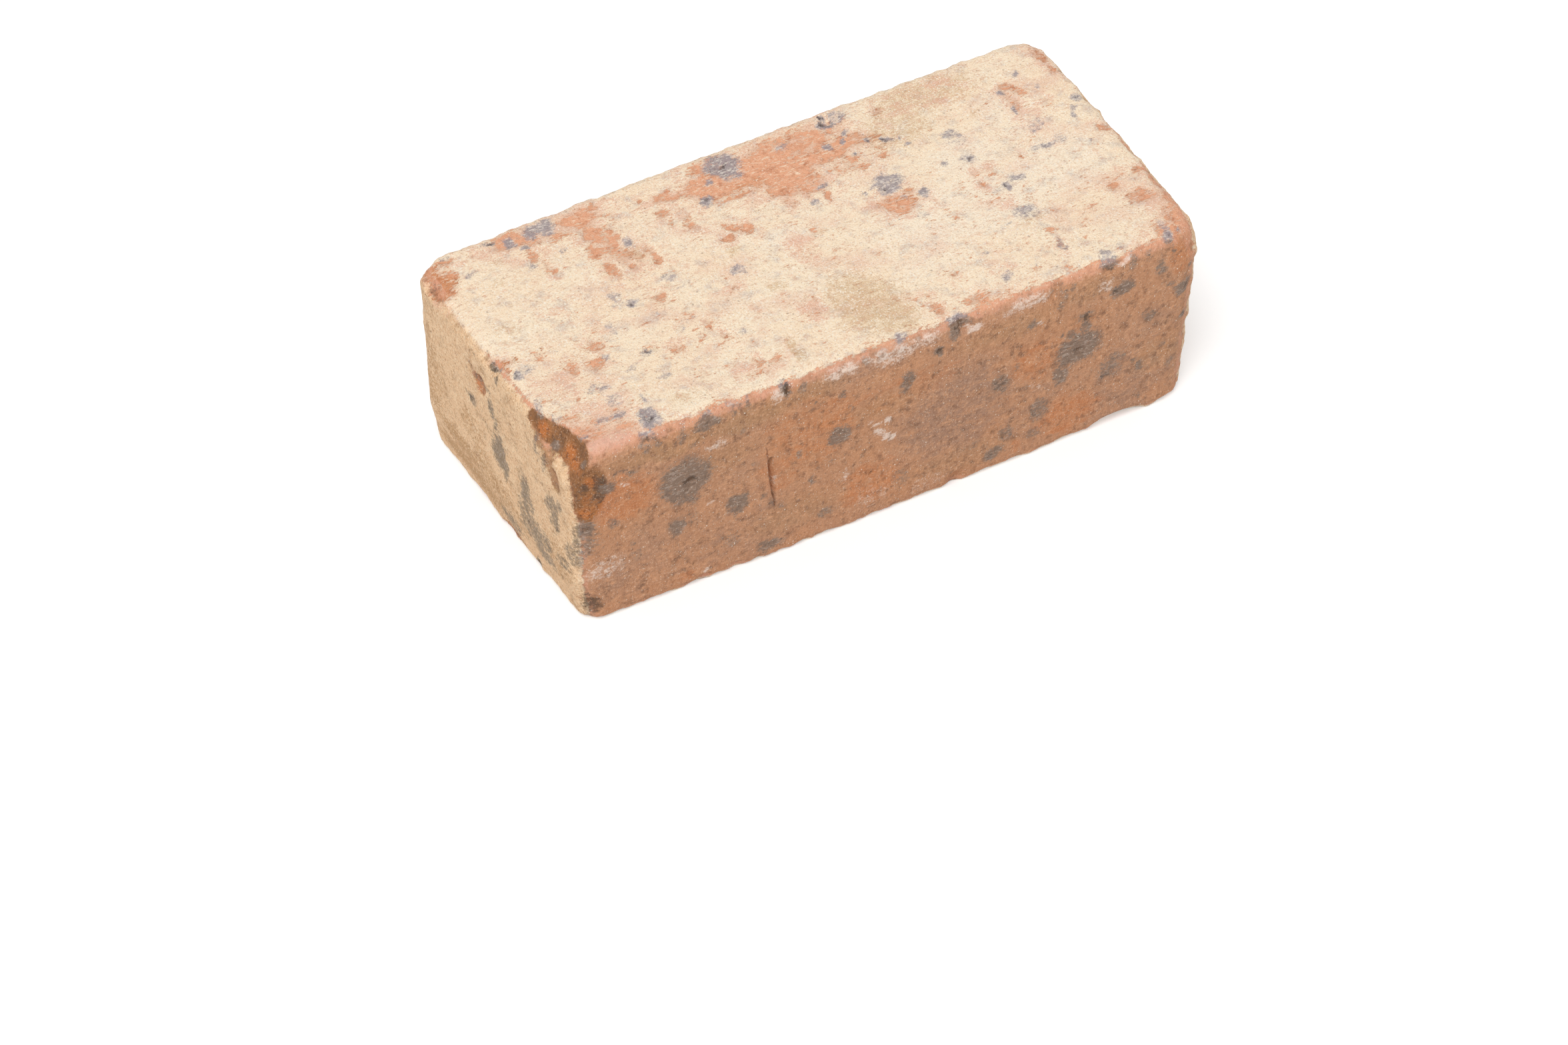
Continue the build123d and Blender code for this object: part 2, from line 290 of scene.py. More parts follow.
TOP_CORE = (
    (-84, 44.5, 2, 0.6, 0.9), (-78.5, -44, 1.8, 1.5, 0.45), (-82, -48.5, 1.5, 0.6, 0.6),
    (-65.5, -19, 0.5, 1.4, 0.8), (-7, 42, 1.3, 0.7, 0.9), (28.5, 45, 1.2, 1.5, 0.9),
    (29.5, 48, 0.7, 0.8, 0.9), (31, 43.5, 0.7, 0.6, 0.9), (29, 9.5, 1, 0.7, 1),
    (37, 32, 1, 1, 0.7), (41, 29, 0.7, 0.8, 0.6), (-19, 31, 0.9, 0.5, 0.7),
    (19.5, -51, 0.9, 0.8, 1), (61.5, -7, 0.8, 0.8, 0.6), (-102.5, -10, 0.7, 1, 0.7),
    (-105, -2, 0.9, 2.3, 0.5), (-20, 12, 0.9, 0.5, 0.9), (59, 8, 0.6, 0.6, 0.7),
    (-60, 0.5, 0.8, 0.5, 0.6), (101.5, 18, 0.7, 1, 0.6), (91, -50, 1.4, 0.7, 0.6),
    (-105, 37, 1.5, 3, 0.4), (-95.5, 45.5, 1.5, 0.6, 0.6),
)

TOP_STAIN = (
    (-1, -32, 11, 15, 0.6), (2, -40, 8, 8, 0.7), (-29, -40, 1.5, 6, 0.6),
    (-23, 7, 3, 2.5, 0.6), (-20, -13, 4, 2, 0.5), (62, 42, 19, 8, 0.55),
    (47, 32, 12, 9, 0.5), (-48, 21, 3, 4, 0.5), (-89, 28, 2, 2, 0.5),
    (-85, 36, 3, 2, 0.35), (60, -24, 5, 2, 0.4), (71, 26, 3, 2, 0.4),
    (-66, -41, 5, 3, 0.35), (-96, 8, 4, 4, 0.3), (3, 2, 1.5, 1.2, 0.6),
)

TOP_BLUSH = (
    (-5, -2, 5, 7, 0.6), (-95, -20, 9, 7, 0.5), (-90, -38, 12, 10, 0.6), (-93, -47, 9, 4, 0.9),
    (-78, 8, 8, 8, 0.3), (57, -13, 4, 4, 0.5), (84, 18, 5, 12, 0.6),
    (97, -35, 7, 15, 0.5), (103, 40, 4, 10, 0.6), (-16, -27, 5, 6, 0.6),
    (-45, -40, 5, 6, 0.4), (40, -38, 5, 5, 0.35), (62, 42, 18, 7, 0.4),
    (90, -20, 8, 4, 0.4), (58, 3, 6, 4, 0.5), (-55, 22, 9, 16, 0.4),
)

TOP_DUST = (
    (45, -10, 32, 16, 0.65), (80, -5, 18, 14, 0.6), (80, 20, 12, 14, 0.5), (-8, 5, 9, 5, 0.6),
    (58, 10, 14, 10, 0.6), (-20, 12, 8, 4, 0.5), (30, -25, 18, 8, 0.5),
)

FRONT_IRON = (
    (-71, 44, 7.5, 8, 1), (-70, 36, 3.5, 4, 0.6), (-70, 30, 3, 5, 0.25),
    (-74, 27, 3.2, 3.5, 0.7), (-54, 26.5, 3.8, 3.8, 0.75), (-45.5, 26, 1.5, 1.2, 0.5),
    (-49, 39.5, 1.2, 1.2, 0.45), (-94, 37, 2, 2, 0.5), (-88, 26, 1, 1.3, 0.5),
    (-87, 21, 2, 3, 0.3), (-84, 61.5, 2, 2.5, 0.5), (-79.5, 62, 2, 3, 0.6),
    (-71, 61, 2, 3, 0.5), (-63, 62, 4, 2, 0.85), (-54, 63, 2, 1.5, 0.5),
    (-50, 62.5, 1, 2.5, 0.5), (-38.5, 63, 1.8, 2.5, 0.95), (-33, 61, 1.2, 1.5, 0.6),
    (-43, 22, 1.2, 2.5, 0.5), (-41, 19.5, 2.5, 1, 0.5), (-44, 5, 4.5, 2.5, 0.7),
    (-57, 13, 4, 5, 0.3), (-53.5, 54.5, 1.5, 1.5, 0.4), (-67.5, 55.5, 0.8, 0.8, 0.5),
    (-34.5, 50, 1.5, 1.2, 0.4), (-30, 54.5, 0.6, 1.5, 0.6), (-20.5, 54.5, 1.6, 2, 0.6),
    (-35, 37, 1, 1.5, 0.55), (-21.5, 38.5, 4, 3.8, 0.9), (-24, 30, 1, 1, 0.5),
    (-30, 24.5, 1.3, 2.2, 0.7), (-25, 9.5, 3, 2.2, 0.5), (-17, 48, 1.2, 1.2, 0.3),
    (1, 50.5, 2.6, 3.6, 0.7), (11, 57, 2.2, 1.5, 0.8), (17, 61.5, 2, 2.5, 0.8),
    (-12, 62, 1.5, 1.5, 0.6), (-4, 62.5, 6, 1.5, 0.35), (33, 34, 3, 3.8, 0.65),
    (31.5, 7, 2.8, 2.8, 0.7), (36, 13, 2.5, 3, 0.55), (0, 12, 3, 4, 0.35),
    (25, 14, 2, 2, 0.35), (47, 18, 3.5, 3.5, 0.6), (46, 9, 3, 3, 0.5),
    (42, 28, 1.5, 2, 0.35), (39, 38.5, 1.6, 1.6, 0.5), (43.5, 53.5, 2, 2, 0.65),
    (52.5, 56, 2, 1.5, 0.5), (62, 49, 3, 3, 0.55), (56.5, 44, 1.5, 2, 0.7),
    (53.5, 44.5, 1, 0.8, 0.6), (60, 37, 7, 6, 1), (62, 45, 1.5, 4, 0.7),
    (54, 28, 2.5, 4, 0.7), (73.5, 54, 4, 2.5, 0.85), (56.5, 61.5, 1, 1, 0.6),
    (70, 64, 2.8, 1.8, 0.6), (77.5, 61.5, 1.5, 2.5, 0.5), (83, 61.5, 1.2, 1.5, 0.5),
    (87, 56, 2.2, 3, 0.55), (91.5, 65, 2, 1.5, 0.7), (91, 61.5, 0.8, 3, 0.5),
    (84, 38.5, 2.5, 2, 0.6), (96, 45, 3.3, 3, 0.85), (91, 49, 2, 1.5, 0.5),
    (97, 33, 2, 1.6, 0.75), (98.5, 52, 1, 1, 0.6), (72, 25, 4.5, 5, 0.5),
    (69.5, 22, 1.3, 2.2, 0.7), (80, 23.5, 1.5, 1.3, 0.6), (82.5, 20.5, 1.8, 2, 0.75),
    (90.5, 25, 1.2, 1.2, 0.5), (93, 16, 1.8, 1.8, 0.5), (83, 7, 1.5, 2, 0.5),
    (-90, 55, 3.5, 1.2, 0.6), (53, 60, 2, 4, 0.35),
)

FRONT_CORE = (
    (-70, 43.5, 2, 1.5, 0.8), (-103, 38.5, 1.5, 1, 0.7), (-38, 63.5, 1, 2, 0.8),
    (32.5, 35, 0.7, 0.7, 0.9), (62.5, 49, 1, 1.5, 1), (59, 36, 2, 0.8, 0.7),
    (61, 33, 1, 0.8, 0.5), (69.5, 22, 0.8, 1.4, 0.5),
    (97, 45, 1.5, 0.8, 0.8), (11.5, 57, 0.9, 0.8, 0.8), (31, 7, 1.2, 1.2, 0.5),
    (71.5, 54.5, 2, 1, 0.6), (-90, 55.5, 2.5, 0.7, 0.5), (17.5, 62, 0.8, 1.5, 0.6),
    (97, 33, 0.9, 0.6, 0.6), (-30, 24.5, 0.6, 1.2, 0.4), (49.6, 62, 0.5, 3.5, 0.4),
    (70, 62.5, 2, 0.7, 0.6), (-74, 26, 1, 1, 0.4), (-63, 62, 1.2, 0.7, 0.5),
)

FRONT_DUST = (
    (-97, 21, 7, 4, 0.4), (-41.5, 62.5, 2, 2, 0.6), (-20, 62.8, 7, 2.4, 0.55),
    (-3, 62, 10, 2.6, 0.5), (24.5, 61, 3, 1.2, 0.9), (8, 62.6, 5, 2.6, 0.5),
    (41, 62, 8, 2.2, 0.5), (68, 57, 3, 2.5, 0.4), (75, 63, 3, 1, 0.8),
    (-61.5, 52, 3.5, 1.2, 0.5), (-90, 50.3, 1.3, 0.4, 1), (-8.5, 34, 1.3, 1, 0.95),
    (-6.3, 32.3, 1.2, 1, 0.9), (-4, 30.3, 1.6, 1.2, 1), (-5.2, 38, 0.8, 1.3, 0.9),
    (-9, 37, 1, 0.5, 0.8), (-64, 5, 0.8, 0.8, 1), (46, 52.3, 1, 0.7, 0.8),
    (43.5, 28.5, 1, 1, 0.5), (46, 27, 1, 1, 0.5), (-13, 39, 2, 0.3, 0.7),
    (-19, 22, 1, 2.5, 0.5), (-42, 31, 0.8, 2, 0.5), (-63, 30.5, 1, 0.4, 0.7),
    (10, 6, 7, 3, 0.22), (-10, 9, 6, 4, 0.22),
)

# Mauve patches of the front. The row at x -5, z 62 is painted shade under the front's top arris.
FRONT_MAUVE_AND_SHADE = (
    (-85, 15, 25, 14, 0.25), (18, 30, 18, 18, 0.8), (-60, 15, 12, 10, 0.3),
    (80, 15, 22, 14, 0.5), (45, 20, 12, 10, 0.4), (-5, 62, 30, 4, 0.5),
    (-50, 20, 12, 14, 0.3), (90, 30, 10, 12, 0.4),
)

FRONT_BRIGHT = (
    (-90, 45, 10, 8, 0.9), (-30, 45, 15, 12, 0.6), (-10, 15, 10, 8, 0.7),
    (58, 12, 10, 8, 0.8), (45, 38, 8, 8, 0.6), (-40, 35, 8, 10, 0.5),
    (0, 47, 20, 6, 0.4), (96, 58, 6, 8, 0.6), (-71, 5, 3, 2, 0.7), (39, 6, 2, 3, 0.7),
)

FRONT_STAIN = (
    (-75, 58, 18, 3, 0.8), (-50, 58, 14, 4, 0.8), (-30, 59, 10, 3, 0.6), (-58, 47, 8, 5, 0.4),
    (-90, 60, 8, 2, 0.5), (35, 55, 16, 4, 0.5), (-36, 14, 14, 6, 0.5), (-5, 44, 10, 4, 0.4),
    (62, 58, 10, 3, 0.5), (20, 10, 16, 5, 0.4), (88, 22, 9, 6, 0.4),
)

LEFT_BARE = (
    (6.5, 53, 3.2, 2.2, 1), (4, 50.5, 2, 2, 0.9), (10, 55, 3, 1.6, 0.5),
    (-7, 3.5, 8, 1.6, 0.9), (36, 66, 7, 2.5, 1), (9, 20, 1.5, 1, 0.5),
    (-3, 65, 2, 2, 0.8), (-54, 30, 3.5, 14, 0.9),
)

LEFT_IRON = (
    (11, 43, 3, 2.2, 0.65), (-5, 33, 4.2, 6, 0.85), (-8.5, 30, 2, 4.5, 0.75),
    (-1, 48, 1.6, 3.5, 0.6), (-3, 43.5, 1.4, 3.5, 0.6), (-5, 39, 1.2, 2.5, 0.5),
    (4, 54, 6, 1.6, 0.45), (-19, 31, 2, 5, 0.6), (-23, 27, 2.5, 3, 0.5),
    (-35, 38, 2.6, 3.5, 0.65), (-38, 33, 2, 4, 0.6), (-40.5, 41, 1.5, 2, 0.5),
    (-18, 22, 3, 5, 0.5), (-24, 19, 8, 5, 0.6), (-21.3, 20, 0.8, 0.8, 0.9),
    (-31, 20, 4, 3, 0.6), (-8, 9, 7, 3.5, 0.5), (-22, 4, 1.5, 1.5, 0.8),
    (-5, 61.5, 1, 1.2, 0.7), (-28, 55, 1.2, 5, 0.55), (-31.5, 51.5, 1.4, 4, 0.5),
    (-50, 33, 3, 8, 0.55), (8, 61, 1, 0.8, 0.4), (-46, 27, 3, 4, 0.55),
    (-42, 20, 4, 3, 0.5), (-20, 29, 3, 8, 0.7), (-29, 13, 6, 4, 0.6), (-37, 37, 3, 6, 0.6),
)

LEFT_CORE = (
    (11, 43, 1.8, 1.2, 0.6), (-21.3, 20, 0.7, 0.7, 0.9), (-22, 4, 0.9, 0.9, 0.7),
    (-50, 7, 4, 5, 1), (-5, 61.5, 0.6, 0.8, 0.5), (4, 50.5, 1, 1, 0.4),
)

LEFT_BRIGHT = ((6.5, 53, 3.5, 2.5, 1), (4, 50.5, 2.4, 2.4, 1), (36, 66, 10, 4, 1), (-3, 65, 3, 3, 1))

TOP_BRIGHT = (
    (-105, 36, 3.5, 8, 1), (-103, 43.5, 5, 3, 0.8), (-104, -3.5, 2, 4, 0.9), (34, 3, 4, 3, 0.6),
    (-7, 30, 10, 4, 0.4), (103, 42, 3, 6, 0.7),
)

LEFT_STAIN = (
    (20, 17, 14, 4, 0.8), (5, 24, 6, 3, 0.5), (-38, 18, 8, 8, 0.5), (12, 30, 8, 6, 0.4),
    (40, 30, 12, 16, 0.45), (15, 9, 24, 4, 0.9), (-14, 14, 10, 6, 0.5), (0, 18, 12, 6, 0.6),
)


# Marks in and around the chip at the front left top corner, where the skin turns too
# much for the marks of one side. Each row is a middle in space, a radius and a level.

CHIP_BROKEN = (
    (-105.4, -24.7, 63.2, 1.8, 1), (-105, -27, 62.5, 2.4, 1), (-104.3, -29.5, 61.8, 3, 1),
    (-103.5, -32, 61.6, 3.4, 1), (-102.6, -35, 61.5, 3.8, 1), (-101.7, -38, 61.3, 4.4, 1),
    (-101, -41, 61.2, 4.8, 1), (-100.3, -43.8, 61, 5, 1), (-100.3, -46, 59, 5, 1),
    (-100.4, -47.5, 56.5, 5, 1), (-100.5, -48.6, 53.8, 5, 1), (-100.7, -49.2, 51, 4.9, 1),
    (-101.2, -49.5, 48.3, 4.5, 1), (-101.7, -49.6, 45.8, 3.8, 1), (-102.4, -49.5, 43.2, 2.6, 1),
)

CHIP_BRIGHT = (
    (-104.3, -28.9, 61.3, 2, 1), (-101.7, -40.5, 60, 2.4, 1), (-101.7, -43.5, 58.5, 2, 0.9),
    (-101.3, -46, 57.5, 1.6, 0.8), (-100, -48.9, 54.6, 2, 0.9), (-102.2, -49, 44, 2, 1),
    (-101, -48.7, 49, 1.4, 0.6), (-98.7, -45.5, 62, 1.5, 0.5),
)

# Dark places in the break, and painted shade along its right edge on the front side
CHIP_DARK_AND_SHADE = (
    (-102.5, -34.2, 60.7, 2.4, 0.5), (-98.8, -44.5, 64, 2.4, 0.4), (-97, -50.2, 55, 2.4, 0.8),
    (-97.2, -50.1, 52, 2.6, 0.9), (-98.2, -50.1, 49, 2.4, 0.8), (-102.1, -48.1, 53, 1.6, 0.8),
    (-103.2, -46.8, 50.5, 2.2, 0.5), (-97.4, -48.2, 59, 2.2, 0.5), (-90.5, -50.3, 54.6, 1.6, 0.5),
)

CHIP_GREY = (
    (-103.3, -34.9, 59, 1.6, 1), (-101, -47.3, 60.9, 1.3, 0.8), (-95.5, -50.3, 51.5, 2.6, 0.7),
    (-98.5, -41.5, 65, 1.5, 0.5), (-102.8, -49.3, 38.4, 3, 0.9), (-104.2, -27, 64.2, 1.4, 0.7),
)

CHIP_TONGUE = (
    (-104.3, -37, 56.8, 0.9, 1), (-104.6, -38.8, 55.6, 1.2, 1), (-104.9, -41.3, 54.8, 2.1, 1),
    (-105.3, -42.3, 52, 2.2, 1), (-105.6, -43.8, 49.5, 2.5, 1), (-105.5, -44, 45.5, 2.5, 1),
)

CHIP_SCAR = (
    (-105.9, -36.8, 51.2, 2.2, 0.9), (-105.8, -38.8, 47.6, 2.2, 0.9), (-105.4, -34.5, 55.2, 2.8, 0.9),
    (-105.9, -30, 57.5, 2.8, 0.7), (-106.1, -27.5, 60.3, 2.2, 0.7), (-106, -33, 53, 2, 0.6),
    (-104.5, -32.5, 58.3, 2.6, 0.9), (-105.8, -38, 49.5, 2.2, 0.9), (-104.6, -36, 57.5, 2, 0.8),
)


# A mark fades between these distances from its middle, as shares of its half size
MARK_FADE = (1.5, 0.5)


def mark_field(points, across, up, depth, face_at, reach, marks):
    """How strongly the marks of one side show: full in their middle and half at their
    outline, dying out below the side's face"""
    field = np.zeros(len(points))
    below = (points[:, depth] - face_at) / reach
    for middle, height, half_wide, half_high, level in marks:
        wide = (points[:, across] - middle) / half_wide
        tall = (points[:, up] - height) / half_high
        near = np.abs(wide) < MARK_FADE[0]
        distance = np.sqrt(wide[near] ** 2 + tall[near] ** 2 + below[near] ** 2)
        field[near] = np.maximum(field[near], level * smooth(*MARK_FADE, distance))
    return field


def space_marks(points, marks):
    """How strongly marks given by a middle in space and a radius show"""
    field = np.zeros(len(points))
    for *middle, radius, level in marks:
        distance = np.linalg.norm(points - middle, axis=1) / radius
        field = np.maximum(field, level * smooth(*MARK_FADE, distance))
    return field


def random_marks(count, across, up, size, level):
    """Marks strewn over a side whose reach across and up is given"""
    rows = []
    for _ in range(count):
        half = size * rng.lognormal(0, 0.5)
        stretch = rng.uniform(0.7, 1.4)
        middle = rng.uniform(*across)
        height = rng.uniform(*up)
        rows.append((middle, height, half * stretch, half / stretch, level * rng.uniform(0.6, 1)))
    return rows


# The grid laid on the brick

counts = [round(extent / GRID_STEP) for extent in high - low]
steps, quads = box_skin(counts)
points = low + steps / counts * (high - low)
follow_crack(points)
points = lay_on_brick(points)
facing = outward(points, quads)

# Which side each point belongs to, read from a facing that small forms don't disturb. A
# point counts as on a bed or an end as its facing turns that way by these shares.
CALMING_ROUNDS = 8
BED_FACING = (0.55, 0.85)
END_FACING = (0.55, 0.8)

calm = np.stack([evened(facing[:, axis], quads, CALMING_ROUNDS) for axis in (X, Y, Z)], axis=1)
calm /= np.linalg.norm(calm, axis=1, keepdims=True)
on_top = smooth(*BED_FACING, calm[:, Z])
on_bottom = smooth(*BED_FACING, -calm[:, Z])
on_left = smooth(*END_FACING, -calm[:, X])
on_right = smooth(*END_FACING, calm[:, X])
from_top = TOP - points[:, Z]

# How far the outlines of the marks wander on the sides and in the chip
MARK_WANDER = 1.3
CHIP_WANDER = 0.7

noises = [Noise(SEED + number) for number in range(3)]
noise_a, noise_b, noise_c = noises
wander = np.stack([noise.layered(points, 6, 3, 0.6) for noise in noises], axis=1)
drifted = points + MARK_WANDER * wander

# Each side: the two axes that its marks are given by, the axis that it faces along,
# where it lies on that one, and how deep below it a mark reaches
SIDES = {
    "top": (X, Y, Z, TOP, 5),
    "bottom": (X, Y, Z, 0, 5),
    "front": (X, Z, Y, low[Y] + 1.0, 8),
    "back": (X, Z, Y, high[Y] - 1.0, 8),
    "left": (Y, Z, X, low[X] + 1.0, 8),
    "right": (Y, Z, X, high[X] - 1.5, 8),
}

# The stretch of each axis that marks are strewn over
STREWN_OVER = (
    (low[X] + 5, high[X] - 5),
    (low[Y] + 5, high[Y] - 5),
    (4, TOP - 4),
)


def marks_on(side, marks):
    """How strongly the given marks of a side show"""
    return mark_field(drifted, *SIDES[side], marks)


def strewn_on(side, count, size, level):
    """How strongly that many marks show, strewn over a side"""
    across, up = SIDES[side][:2]
    return marks_on(side, random_marks(count, STREWN_OVER[across], STREWN_OVER[up], size, level))


def marks_in_chip(marks):
    """How strongly the given marks in and around the chip show"""
    return space_marks(points + CHIP_WANDER * wander, marks)


# Iron spots are this much stronger than their rows say, so that they have whole middles
IRON_STRENGTH = 1.2

# The marks of each kind. The sides that the photo doesn't show have strewn ones.
iron = IRON_STRENGTH * np.maximum.reduce([
    marks_on("top", TOP_IRON),
    marks_on("front", FRONT_IRON),
    marks_on("left", LEFT_IRON),
    marks_in_chip(CHIP_GREY),
    strewn_on("back", 55, 2.2, 0.85),
    strewn_on("right", 22, 2.4, 0.8),
    strewn_on("bottom", 45, 2.4, 0.7),
])
core = np.maximum.reduce([
    marks_on("top", TOP_CORE),
    marks_on("front", FRONT_CORE),
    marks_on("left", LEFT_CORE),
    strewn_on("back", 12, 0.9, 1),
    strewn_on("right", 5, 0.9, 1),
    strewn_on("bottom", 9, 0.9, 1),
])
bare = np.maximum.reduce([
    marks_on("top", TOP_BARE),
    marks_on("left", LEFT_BARE),
    marks_in_chip(CHIP_SCAR),
    strewn_on("right", 16, 4.5, 0.9),
    strewn_on("bottom", 45, 5, 0.9),
])
stain = np.maximum.reduce([
    marks_on("top", TOP_STAIN),
    marks_on("front", FRONT_STAIN),
    marks_on("left", LEFT_STAIN),
    marks_in_chip(CHIP_SCAR),
    strewn_on("back", 8, 8, 0.6),
])
dust = np.maximum.reduce([
    marks_on("top", TOP_DUST),
    marks_on("front", FRONT_DUST),
    strewn_on("back", 12, 3, 0.4),
])
# Mauve patches, and painted shade under the front's top arris
mauve_and_shade = np.maximum(
    marks_on("front", FRONT_MAUVE_AND_SHADE),
    strewn_on("back", 9, 14, 0.8),
)
bright = np.maximum.reduce([
    marks_on("top", TOP_BRIGHT),
    marks_on("front", FRONT_BRIGHT),
    marks_on("left", LEFT_BRIGHT),
    marks_in_chip(CHIP_BRIGHT),
    strewn_on("back", 9, 10, 0.8),
])

# The slip blushes around its bare marks: how much larger and fainter such a halo is
HALO_GROWTH = 2
HALO_RIM = 1
HALO_LEVEL = 0.45

halos = [
    (x, y, HALO_GROWTH * wide + HALO_RIM, HALO_GROWTH * tall + HALO_RIM, HALO_LEVEL * level)
    for x, y, wide, tall, level in TOP_BARE
]
blush = np.maximum(marks_on("top", TOP_BLUSH), marks_on("top", halos))

# The slip covers the beds and the ends. It fades between these distances from the top
# and from the bottom, its edge is ragged, and it ends higher along the front.
TOP_SLIP_FADE = (2.2, 0.6)
BOTTOM_SLIP_FADE = (2.6, 0.6)
TOP_RAGGED = 0.35
BOTTOM_RAGGED = 0.5
HIGHER_IN_FRONT = 0.9
LEFT_SLIP = 0.95
RIGHT_SLIP = 0.9

ragged = noise_b.layered(points, 7, 3, 0.5)
front_half = smooth(10, -10, points[:, Y])
slip_limit = from_top + HIGHER_IN_FRONT * front_half + TOP_RAGGED * ragged
slip = np.maximum.reduce([
    smooth(*TOP_SLIP_FADE, slip_limit) * smooth(-0.2, 0.4, calm[:, Z]),
    on_left * LEFT_SLIP,
    on_right * RIGHT_SLIP,
    on_bottom * smooth(*BOTTOM_SLIP_FADE, points[:, Z] + BOTTOM_RAGGED * ragged),
])
tongue = smooth(0.3, 0.7, marks_in_chip(CHIP_TONGUE))
chip = marks_in_chip(CHIP_BROKEN) * (1 - tongue)
# Dark places in the chip, and painted shade at its right edge
dark_and_shade = marks_in_chip(CHIP_DARK_AND_SHADE)
slip = np.maximum(slip * (1 - bare) * (1 - smooth(0.2, 0.6, chip)), tongue)
buff = np.maximum.reduce([on_left, on_right, tongue])
bed = np.maximum(on_top, on_bottom)

# The strip of the front side that the crack's line of painted shade is drawn in
beside_crack = np.abs(points[:, X] - CRACK_X)
crack = smooth(CRACK_STRIP, CRACK_STRIP - 2, beside_crack) * smooth(-0.5, -0.8, calm[:, Y])

# Relief, in millimetres out of the surface
WAVES = 0.25
RIPPLES = 0.16
WORN_ARRIS = 0.5
SAND = 0.1
SLIP_THICKNESS = 0.2
BARE_DEPTH = 0.12
ROUGH_IRON = 0.14
CORE_DEPTH = 0.35
ROUGH_BREAK = 0.5
TONGUE_THICKNESS = 0.4
PIT_COUNT = 260
WIDEST_PIT = 2.6
DEEPEST_PIT = 0.5

arris = smooth(0.97, 0.8, np.abs(calm).max(axis=1))
relief = WAVES * noise_a.layered(points, 34, 2)
relief += RIPPLES * noise_b.layered(points, 11, 2)
relief += arris * WORN_ARRIS * noise_c.layered(points, 7, 3, 0.65)
relief += SAND * noise_a.layered(points, 2.6, 2, 0.8)
relief += SLIP_THICKNESS * smooth(0.35, 0.65, slip + 0.3 * noise_b.layered(points, 2.4, 2))
relief -= BARE_DEPTH * smooth(0.2, 0.8, bare) * (1 + noise_c.layered(points, 2.2, 2))
relief += ROUGH_IRON * iron * noise_b.layered(points, 2.0, 2)
relief -= CORE_DEPTH * smooth(0.4, 0.8, core)
relief += ROUGH_BREAK * chip * noise_a.layered(points, 5, 3, 0.7)
relief += TONGUE_THICKNESS * tongue


def strew_pits(count, widest, deepest):
    """Small round pits anywhere on the brick"""
    total = np.zeros(len(points))
    for middle in points[rng.integers(0, len(points), count)]:
        radius = widest * rng.uniform(0.35, 1) / 2
        away = np.linalg.norm(points - middle, axis=1) / radius
        total += deepest * rng.uniform(0.3, 1) * smooth(1.3, 0.2, away)
    return total


relief -= strew_pits(PIT_COUNT, WIDEST_PIT, DEEPEST_PIT)
points = points + relief[:, None] * facing

# How far each point lies below what surrounds it, which sets where shade is painted in the hollows
AROUND_ROUNDS = 6
HOLLOW_GAIN = 4

hollow = HOLLOW_GAIN * (evened(relief, quads, AROUND_ROUNDS) - relief)

# No point goes through the floor, or further than this past the CAD brick's box
PAST_BOX = 0.4

points[:, Z] = np.clip(points[:, Z], 0, None)
points = np.clip(points, low - PAST_BOX, high + PAST_BOX)

mesh = bpy.data.meshes.new("brick_skin")
mesh.from_pydata(points * METRE, [], quads)
mesh.update()
mesh.shade_smooth()


def store(name, values):
    """Gives the skin's mesh a value for each point, which the material reads by name"""
    attribute = mesh.attributes.new(name, "FLOAT", "POINT")
    attribute.data.foreach_set("value", np.clip(values, 0, 1).astype(np.float32))


for name, values in {
    "slip": slip,
    "buff": buff,
    "bed": bed,
    "iron": iron,
    "core": core,
    "stain": stain,
    "blush": blush,
    "dust": dust,
    "mauve_and_shade": mauve_and_shade,
    "bright": bright,
    "chip": chip,
    "dark_and_shade": dark_and_shade,
    "crack": crack,
    "hollow": hollow,
    "arris": arris,
}.items():
    store(name, values)

skin = bpy.data.objects.new("brick_skin", mesh)
bpy.context.scene.collection.objects.link(skin)
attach(skin, "root")
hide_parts("brick")


# The material


def srgb(red, green, blue):
    """A colour given as a screen shows it, from 0 to 255, as Blender takes it"""
    values = [value / 255 for value in (red, green, blue)]
    linear = [v / 12.92 if v <= 0.04045 else ((v + 0.055) / 1.055) ** 2.4 for v in values]
    return (*linear, 1.0)


# Colours of the bare clay. Mottles have one for the sides and one for the beds.
CLAY = (srgb(206, 149, 110), srgb(197, 148, 116))
BED_CLAY = srgb(240, 176, 140)
# Mauve clay, also used as painted shade under the front's top arris
MAUVE_AND_SHADED_CLAY = srgb(176, 137, 114)
BRIGHT_CLAY = srgb(210, 138, 92)
STAINED_CLAY = srgb(180, 140, 102)
DARK_MOTTLE = (srgb(146, 108, 84), srgb(196, 128, 94))
PALE_MOTTLE = (srgb(226, 170, 130), srgb(254, 232, 204))
FLUSHED_CLAY = srgb(240, 190, 168)
WORN_CLAY = srgb(232, 170, 140)
MOULD_SHADE = (0.8, 0.75, 0.72, 1)
MOULD_LIGHT = srgb(224, 166, 126)
SAND_SHADE = (0.62, 0.52, 0.44, 1)
SAND_LIGHT = srgb(244, 206, 176)

# Colours of the fresh break in the chip
BREAK = (srgb(182, 124, 78), srgb(132, 94, 64))
BRIGHT_BREAK = srgb(206, 124, 66)
# Dark places of the break, also used as painted shade at its edge
DARK_AND_SHADED_BREAK = srgb(88, 76, 66)
BREAK_SPECK = srgb(112, 78, 56)
BREAK_LIGHT = srgb(204, 140, 98)

